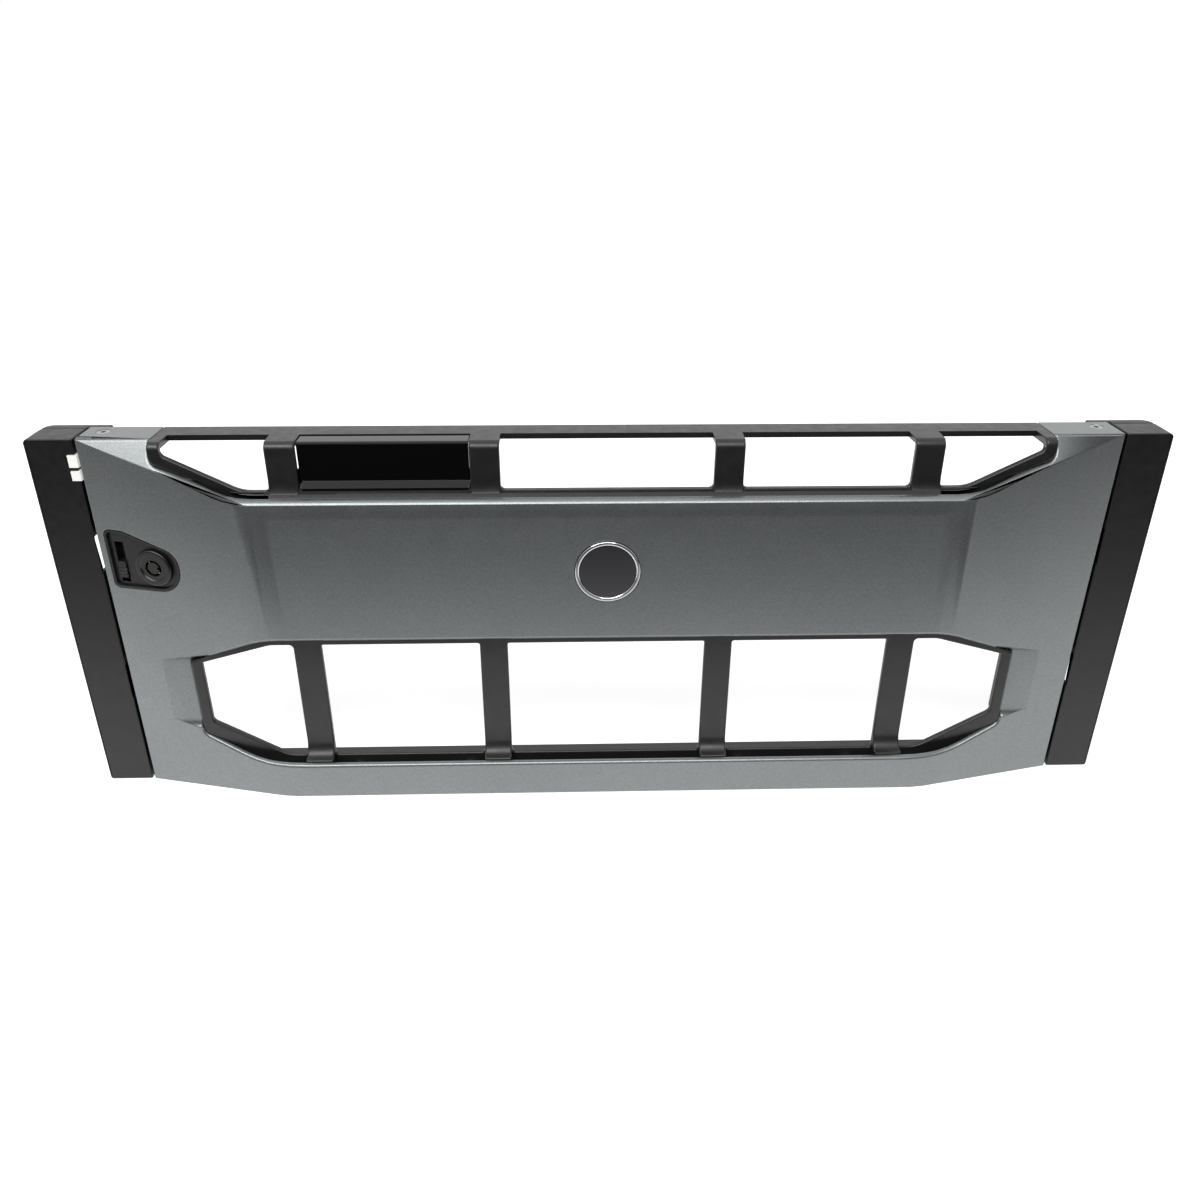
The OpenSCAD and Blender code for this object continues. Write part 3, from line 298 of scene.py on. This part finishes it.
def soften(bm: bmesh.types.BMesh, width_mm: float, segments: int, where: EdgeTest | None = None,
           least: float = 30.0) -> int:
    """Rounds the outside edges of a mesh.

    Args:
        bm: the mesh.
        width_mm: width of the rounding in millimetres.
        segments: faces across the rounding.
        where: tells which edges are meant; all of them if left out.
        least: smallest turn between an edge's faces, in degrees.

    Returns:
        How many edges were rounded.
    """
    width = width_mm * MM
    bm.normal_update()
    edges = [e for e in bm.edges if is_sharp(e, width, least) and (where is None or where(e))]
    if edges:
        bmesh.ops.bevel(bm, geom=edges, offset=width, offset_type="OFFSET", affect="EDGES", segments=segments,
                        profile=0.5, material=-1, clamp_overlap=False, loop_slide=True)
    return len(edges)


def middle(edge: bmesh.types.BMEdge) -> Vector:
    """Returns an edge's middle in millimetres."""
    return (edge.verts[0].co + edge.verts[1].co) * 500


def finish_piece(bm: bmesh.types.BMesh, name: str, look: Look, body: str, paints: Paints,
                 stands_for: Iterable[str] = (), smooth_angle: float = 32.0) -> bpy.types.Object:
    """Turns a mesh into a shown piece that rides on a body.

    Args:
        bm: the finished mesh, which is freed.
        name: the piece's name.
        look: its finish.
        body: the CAD body that it rides on.
        paints: where its material comes from.
        stands_for: CAD nodes that aren't shown any more.
        smooth_angle: faces that turn less than this, in degrees, are shaded as one.

    Returns:
        The new object.
    """
    mesh = bpy.data.meshes.new(name)
    bm.to_mesh(mesh)
    bm.free()
    mesh.shade_smooth()
    mesh.set_sharp_from_angle(angle=math.radians(smooth_angle))
    mesh.materials.append(paints.get(look))
    piece = bpy.data.objects.new(name, mesh)
    bpy.context.scene.collection.objects.link(piece)
    weighted = piece.modifiers.new("even_shading", "WEIGHTED_NORMAL")
    weighted.keep_sharp = True
    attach(piece, body)
    if stands_for:
        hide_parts(*stands_for)
    return piece


class Part:
    """A sub-assembly of the bezel."""

    def __init__(self, paints: Paints) -> None:
        """Keeps the paints that the parts share."""
        self.paints = paints

    def build(self) -> list[bpy.types.Object]:
        """Builds the pieces. Each sub-assembly has its own."""
        raise NotImplementedError

    def paint_node(self, node: str, look: Look) -> bpy.types.Object:
        """Gives a CAD node its finish.

        Args:
            node: name of the CAD node.
            look: its finish.

        Returns:
            The node's object.
        """
        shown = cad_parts[node]
        shown.data.materials.clear()
        shown.data.materials.append(self.paints.get(look))
        return shown


# ---------- the face panel ----------

@dataclass
class FacePanel(Part):
    """The painted panel with rolled lips round both openings."""

    paints: Paints
    lip_mm: float = 1.7
    recess_mm: float = 0.35
    rim_mm: float = 0.5
    opening_end_x: float = 192.0
    badge_z: float = 117.4

    def on_lip(self, edge: bmesh.types.BMEdge) -> bool:
        """Tells if an edge is the front edge of an opening."""
        at = middle(edge)
        forward = max(-face.normal.y for face in edge.link_faces)
        across = min(abs(face.normal.y) for face in edge.link_faces)
        near_badge = abs(at.x) < 17 and abs(at.z - self.badge_z) < 17
        inside = abs(at.x) < self.opening_end_x and 15 < at.z < 171.5
        return inside and not near_badge and forward > 0.6 and across < 0.05 and at.y < 3

    def build(self) -> list[bpy.types.Object]:
        """Builds the panel.

        Returns:
            The panel.
        """
        bm = cad_copy("face_panel")
        LOG.info("panel lips: %d edges", soften(bm, self.lip_mm, 4, self.on_lip))
        LOG.info("panel edges: %d edges", soften(bm, self.recess_mm, 2, None, 40))
        return [finish_piece(bm, "painted_face_panel", Look.SILVER, "bezel", self.paints,
                             ["face_panel"])]


# ---------- the grille frame ----------

@dataclass
class GrilleFrame(Part):
    """The black frame with its ribs and rounded windows, and the label plate in its left window."""

    paints: Paints
    window_mm: float = 0.9
    edge_mm: float = 0.4
    label_face_y: float = -10.05
    label_ledge_z: float = 155.45
    ledge_shift_mm: float = 0.65

    def on_front(self, edge: bmesh.types.BMEdge) -> bool:
        """Tells if an edge is on the front of the frame."""
        at = middle(edge)
        return at.y < 4 and max(-face.normal.y for face in edge.link_faces) > 0.3

    def tilt_ledge(self, bm: bmesh.types.BMesh) -> None:
        """Moves the label's face back and lowers the top of its ledge, which then lies at 45 degrees.

        Args:
            bm: the label plate's mesh.
        """
        for vert in bm.verts:
            if abs(vert.co.y * 1000 - self.label_face_y) < 0.45 and vert.co.z * 1000 > self.label_ledge_z - 1:
                vert.co.y += self.ledge_shift_mm * MM
                if vert.co.z * 1000 < self.label_ledge_z + 1:
                    vert.co.z -= self.ledge_shift_mm * MM

    def off_plate_back(self, edge: bmesh.types.BMEdge) -> bool:
        """Tells if an edge is clear of the back of the grille plate."""
        return not any(face.normal.y > 0.9 and face.calc_center_median().y < 0 for face in edge.link_faces)

    def build(self) -> list[bpy.types.Object]:
        """Builds the frame and the label plate.

        Returns:
            Both pieces.
        """
        bm = cad_copy("grille_frame")
        LOG.info("frame windows: %d edges", soften(bm, self.window_mm, 3, self.on_front))
        LOG.info("frame edges: %d edges", soften(bm, self.edge_mm, 2, self.off_plate_back, 40))
        shell = finish_piece(bm, "grille_frame_shell", Look.FRAME, "bezel", self.paints,
                             ["grille_frame"])
        bm = cad_copy("label_plate")
        self.tilt_ledge(bm)
        soften(bm, 0.3, 2, None, 40)
        label = finish_piece(bm, "label_plate_gloss", Look.ACRYLIC, "bezel", self.paints,
                             ["label_plate"])
        return [shell, label]


# ---------- ears ----------

@dataclass
class Ears(Part):
    """Both hollow ears with their back plates and the light pipes."""

    paints: Paints
    edge_mm: float = 0.6

    def build(self) -> list[bpy.types.Object]:
        """Builds the ears.

        Returns:
            The four shells.
        """
        pieces = []
        for node in ("left_ear", "right_ear", "left_ear_back", "right_ear_back"):
            bm = cad_copy(node)
            soften(bm, self.edge_mm, 3, None, 40)
            pieces.append(finish_piece(bm, f"{node}_shell", Look.EAR, "bezel", self.paints, [node]))
        for node in ("pulse_light_pipe", "power_light_pipe"):
            self.paint_node(node, Look.LENS)
        return pieces


# ---------- lock, slide and hidden hardware ----------

@dataclass
class LockAndLatch(Part):
    """The keylock, its escutcheon, the release slide and the latch behind them."""

    paints: Paints

    def build(self) -> list[bpy.types.Object]:
        """Builds and paints the pieces.

        Returns:
            The pieces that stand for CAD nodes.
        """
        pieces = []
        softened = (
            ("lock_escutcheon", Look.TRIM, "black_frame", "bezel", 0.3),
            ("lock_body", Look.LOCK, "lock_black", "bezel", 0.2),
            ("lock_plug", Look.LOCK, "lock_black", "lock_core", 0.15),
            ("release_slider", Look.TRIM, "black_frame", "release", 0.12),
            ("latch_bar", Look.ZINC, "zinc_steel", "release", 0.2),
            ("hook_plate", Look.ZINC, "zinc_steel", "bezel", 0.2),
        )
        for node, look, slot, body, width in softened:
            bm = cad_copy(node)
            soften(bm, width, 2, None, 40)
            pieces.append(finish_piece(bm, f"{node}_finished", look, body, self.paints, [node]))
        for node in ("upper_latch_keeper", "lower_latch_keeper"):
            self.paint_node(node, Look.FRAME)
        for node in ("lock_nut", "lock_cam", "lock_cam_screw", "slider_screw", "keeper_screws",
                     "hook_plate_screws", "flange_screws", "frame_screws", "left_ear_screws",
                     "right_ear_screws"):
            self.paint_node(node, Look.ZINC)
        self.paint_node("lock_pins", Look.BRASS)
        self.paint_node("latch_spring", Look.WIRE)
        return pieces


@dataclass
class Badge(Part):
    """The round badge: a bright ring round a plain dark disc."""

    paints: Paints

    def build(self) -> list[bpy.types.Object]:
        """Paints the ring and the disc.

        Returns:
            Both CAD nodes.
        """
        return [self.paint_node("badge_ring", Look.CHROME), self.paint_node("badge_disc", Look.RESIN)]


# ---------- studio ----------

@dataclass
class Studio:
    """A pale floor with painted shade towards the viewer, a white surround, a soft box and the camera."""

    camera_at: Point = (-0.01529, -0.4121, 0.30282)
    camera_turn: Point = (1.09974, -0.003873, -0.028829)
    focal_mm: float = 30.345
    sensor_mm: float = 36.0
    floor_size: float = 6.0
    near_y: float = -0.36
    far_y: float = -0.02
    near_level: float = 0.03
    surround: float = 0.4

    def camera(self) -> None:
        """Sets the camera."""
        data = bpy.data.cameras.new("camera")
        data.lens = self.focal_mm
        data.sensor_width = self.sensor_mm
        eye = bpy.data.objects.new("camera", data)
        eye.location = self.camera_at
        eye.rotation_euler = self.camera_turn
        bpy.context.scene.collection.objects.link(eye)
        bpy.context.scene.camera = eye

    def mirrored(self, path: bpy.types.Node, tree: bpy.types.NodeTree) -> bpy.types.NodeSocket:
        """Returns 1 for rays from a reflection or through clear plastic."""
        return add(tree, "ShaderNodeMath", {0: path.outputs["Is Glossy Ray"], 1: path.outputs["Is Transmission Ray"]},
                   operation="MAXIMUM").outputs[0]

    def pick(self, tree: bpy.types.NodeTree, when: bpy.types.NodeSocket, yes, no) -> bpy.types.NodeSocket:
        """Returns one of two values.

        Args:
            tree: the node tree.
            when: a socket that is 1 for the first value and 0 for the second.
            yes: the first value, a number or a socket.
            no: the second value, a number or a socket.

        Returns:
            The socket with the chosen value.
        """
        return add(tree, "ShaderNodeMix", {"Factor": when, "A": no, "B": yes}, data_type="FLOAT").outputs["Result"]

    def world(self) -> None:
        """Makes a surround that is white behind and above, and dim round the viewer."""
        world = bpy.data.worlds.new("white_surround")
        world.use_nodes = True
        tree = world.node_tree
        tree.nodes.clear()
        path = add(tree, "ShaderNodeLightPath")
        way = add(tree, "ShaderNodeTexCoord")
        parts = add(tree, "ShaderNodeSeparateXYZ", {0: way.outputs["Generated"]})
        lifted = add(tree, "ShaderNodeMath", {0: parts.outputs["Z"], 1: 0.8, 2: parts.outputs["Y"]},
                     operation="MULTIPLY_ADD")
        behind = add(tree, "ShaderNodeMapRange", {"Value": lifted.outputs[0], "From Min": -0.75, "From Max": 0.4,
                     "To Min": self.near_level, "To Max": 1.0})
        soft = add(tree, "ShaderNodeMath", {0: behind.outputs[0], 1: self.surround}, operation="MULTIPLY")
        unseen = self.pick(tree, self.mirrored(path, tree), behind.outputs[0], soft.outputs[0])
        strength = self.pick(tree, path.outputs["Is Camera Ray"], 1.0, unseen)
        sky = add(tree, "ShaderNodeBackground", {"Color": linear("#ffffff"), "Strength": strength})
        add(tree, "ShaderNodeOutputWorld", {"Surface": sky.outputs[0]})
        bpy.context.scene.world = world

    def floor(self) -> None:
        """Lays a white floor that keeps the object's shadow. In reflections and bounce light its front is painted
        dim, painted shade for the unlit room on the viewer's side.
        """
        bm = bmesh.new()
        bmesh.ops.create_grid(bm, x_segments=1, y_segments=1, size=self.floor_size / 2)
        bmesh.ops.translate(bm, verts=bm.verts, vec=(0, 0, -0.0002))
        mesh = bpy.data.meshes.new("floor")
        bm.to_mesh(mesh)
        bm.free()
        paper = bpy.data.materials.new("white_paper_floor")
        paper.use_nodes = True
        tree = paper.node_tree
        tree.nodes.clear()
        path = add(tree, "ShaderNodeLightPath")
        place = add(tree, "ShaderNodeTexCoord")
        parts = add(tree, "ShaderNodeSeparateXYZ", {0: place.outputs["Object"]})
        # Painted shade: for all but camera rays the floor dims towards the viewer, standing in for the unlit room
        # there.
        painted_front_shade = add(tree, "ShaderNodeMapRange", {"Value": parts.outputs["Y"], "From Min": self.near_y,
                   "From Max": self.far_y, "To Min": self.near_level, "To Max": 1.0},
                   interpolation_type="SMOOTHSTEP")
        level = self.pick(tree, path.outputs["Is Camera Ray"], 1.0, painted_front_shade.outputs[0])
        mirror_glow = add(tree, "ShaderNodeMath", {0: self.mirrored(path, tree), 1: painted_front_shade.outputs[0]},
                          operation="MULTIPLY")
        seen = add(tree, "ShaderNodeMath", {0: path.outputs["Is Camera Ray"], 1: mirror_glow.outputs[0]},
                   operation="MAXIMUM")
        away = add(tree, "ShaderNodeVectorMath", {0: place.outputs["Object"]}, operation="LENGTH")
        # Painted light: the floor's glow is weaker near the object and full far from it.
        clear = add(tree, "ShaderNodeMapRange", {"Value": away.outputs["Value"], "From Min": 0.25, "From Max": 0.7,
                    "To Min": 0.72, "To Max": 1.0})
        glow = add(tree, "ShaderNodeMath", {0: seen.outputs[0], 1: clear.outputs[0]}, operation="MULTIPLY")
        shine = add(tree, "ShaderNodeEmission", {"Color": linear("#ffffff"), "Strength": glow.outputs[0]})
        tone = add(tree, "ShaderNodeVectorMath", {0: linear("#e8e8e8")[:3], "Scale": level}, operation="SCALE")
        matt = add(tree, "ShaderNodeBsdfDiffuse", {"Color": tone.outputs[0]})
        both = add(tree, "ShaderNodeAddShader", {0: shine.outputs[0], 1: matt.outputs[0]})
        add(tree, "ShaderNodeOutputMaterial", {"Surface": both.outputs[0]})
        mesh.materials.append(paper)
        ground = bpy.data.objects.new("floor", mesh)
        bpy.context.scene.collection.objects.link(ground)

    def lamp(self, name: str, at: Point, towards: Point, size: tuple[float, float], watts: float) -> None:
        """Hangs a soft box.

        Args:
            name: the lamp's name.
            at: its place.
            towards: the point it faces.
            size: width and height in metres.
            watts: its power.
        """
        data = bpy.data.lights.new(name, "AREA")
        data.shape = "RECTANGLE"
        data.size, data.size_y = size
        data.energy = watts
        box = bpy.data.objects.new(name, data)
        box.location = at
        box.rotation_euler = (Vector(towards) - Vector(at)).to_track_quat("-Z", "Y").to_euler()
        bpy.context.scene.collection.objects.link(box)

    def build(self) -> None:
        """Sets up the whole studio."""
        self.camera()
        self.world()
        self.floor()
        self.lamp("front_top_box", (-0.25, -0.68, 1.1), (0, 0, 0.08), (1.5, 0.45), 14)
        bpy.context.scene.view_settings.view_transform = "Standard"


def main() -> None:
    """Builds every sub-assembly in order, then the studio."""
    logging.basicConfig(level=logging.INFO, format="%(message)s")
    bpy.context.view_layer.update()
    paints = Paints()
    for part in (FacePanel(paints), GrilleFrame(paints), Ears(paints), LockAndLatch(paints), Badge(paints)):
        for piece in part.build():
            LOG.info("%s: %s", type(part).__name__, piece.name)
    Studio().build()


if __name__ == "__main__":
    main()
